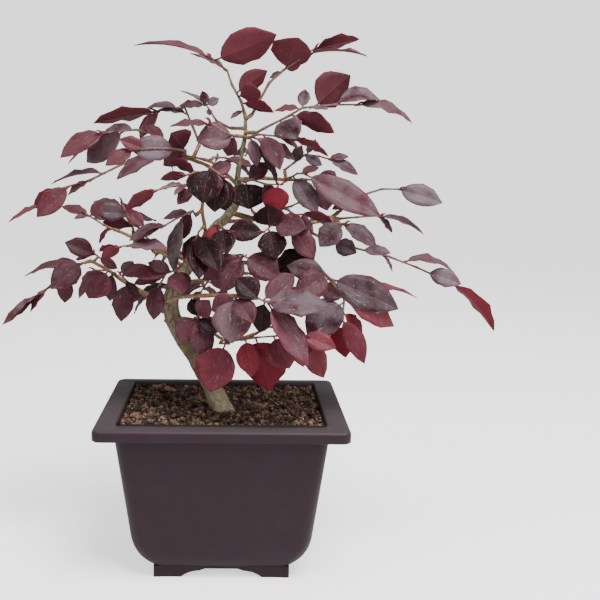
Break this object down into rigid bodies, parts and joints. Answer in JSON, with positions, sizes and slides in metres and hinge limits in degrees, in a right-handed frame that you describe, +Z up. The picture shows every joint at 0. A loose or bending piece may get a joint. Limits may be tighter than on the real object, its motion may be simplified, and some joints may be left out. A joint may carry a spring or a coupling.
{
  "type": "potted bonsai tree",
  "caption": "Small chinese fringe flower bonsai with a leaning trunk and purple-red leaves, standing in soil in a rectangular plastic pot with a flanged rim and bracket feet.",
  "frame": {"origin": "centre of the base of the whole model's box, on the plane that the pot's feet stand on", "axes": "+Z up along the tree, +X to the viewer's right along the pot's long side, -Y towards the viewer"},
  "size_m": [0.3232, 0.1576, 0.3435],
  "materials": {
    "pot_plastic": "dark aubergine-brown moulded plastic with a soft sheen",
    "soil": "dark brown crumbly soil",
    "bark": "olive grey-brown bark, orange-brown on the young wood",
    "leaf": "burgundy leaf with a soft grey-mauve sheen above and a duller underside"
  },
  "bodies": {
    "root": {"pot": "pot_plastic", "soil": "soil", "spray_back_crown": "leaf", "spray_back_left_inner": "leaf", "spray_back_left_side": "leaf", "spray_back_left_tip": "leaf", "spray_back_low_inner": "leaf", "spray_back_low_left": "leaf", "spray_back_low_middle": "leaf", "spray_back_low_right": "leaf", "spray_back_right_inner": "leaf", "spray_back_right_side": "leaf", "spray_back_right_tip": "leaf", "spray_back_upper_left": "leaf", "spray_back_upper_middle": "leaf", "spray_centre_dark": "leaf", "spray_centre_fan": "leaf", "spray_centre_low": "leaf", "spray_centre_right": "leaf", "spray_centre_shade": "leaf", "spray_crown_right": "leaf", "spray_front_grey": "leaf", "spray_front_mauve": "leaf", "spray_grey_cluster": "leaf", "spray_left_crown": "leaf", "spray_left_drooping": "leaf", "spray_left_far": "leaf", "spray_left_inner": "leaf", "spray_left_middle_dark": "leaf", "spray_left_middle_inner": "leaf", "spray_left_middle_low": "leaf", "spray_left_middle_tip": "leaf", "spray_left_outer": "leaf", "spray_left_peak": "leaf", "spray_left_shade": "leaf", "spray_left_tuft": "leaf", "spray_low_left_front": "leaf", "spray_low_left_hanging": "leaf", "spray_low_left_inner": "leaf", "spray_low_left_tip": "leaf", "spray_low_left_upper": "leaf", "spray_low_red": "leaf", "spray_low_right_big": "leaf", "spray_low_right_hanging": "leaf", "spray_low_right_pink": "leaf", "spray_low_trunk": "leaf", "spray_low_wine": "leaf", "spray_right_behind": "leaf", "spray_right_centre": "leaf", "spray_right_dark": "leaf", "spray_right_far": "leaf", "spray_right_low_tip": "leaf", "spray_right_mauve": "leaf", "spray_right_shade": "leaf", "spray_right_shoulder": "leaf", "spray_top_left": "leaf", "spray_top_right": "leaf", "spray_upper_right": "leaf", "trunk": "bark"}
  },
  "joints": []
}
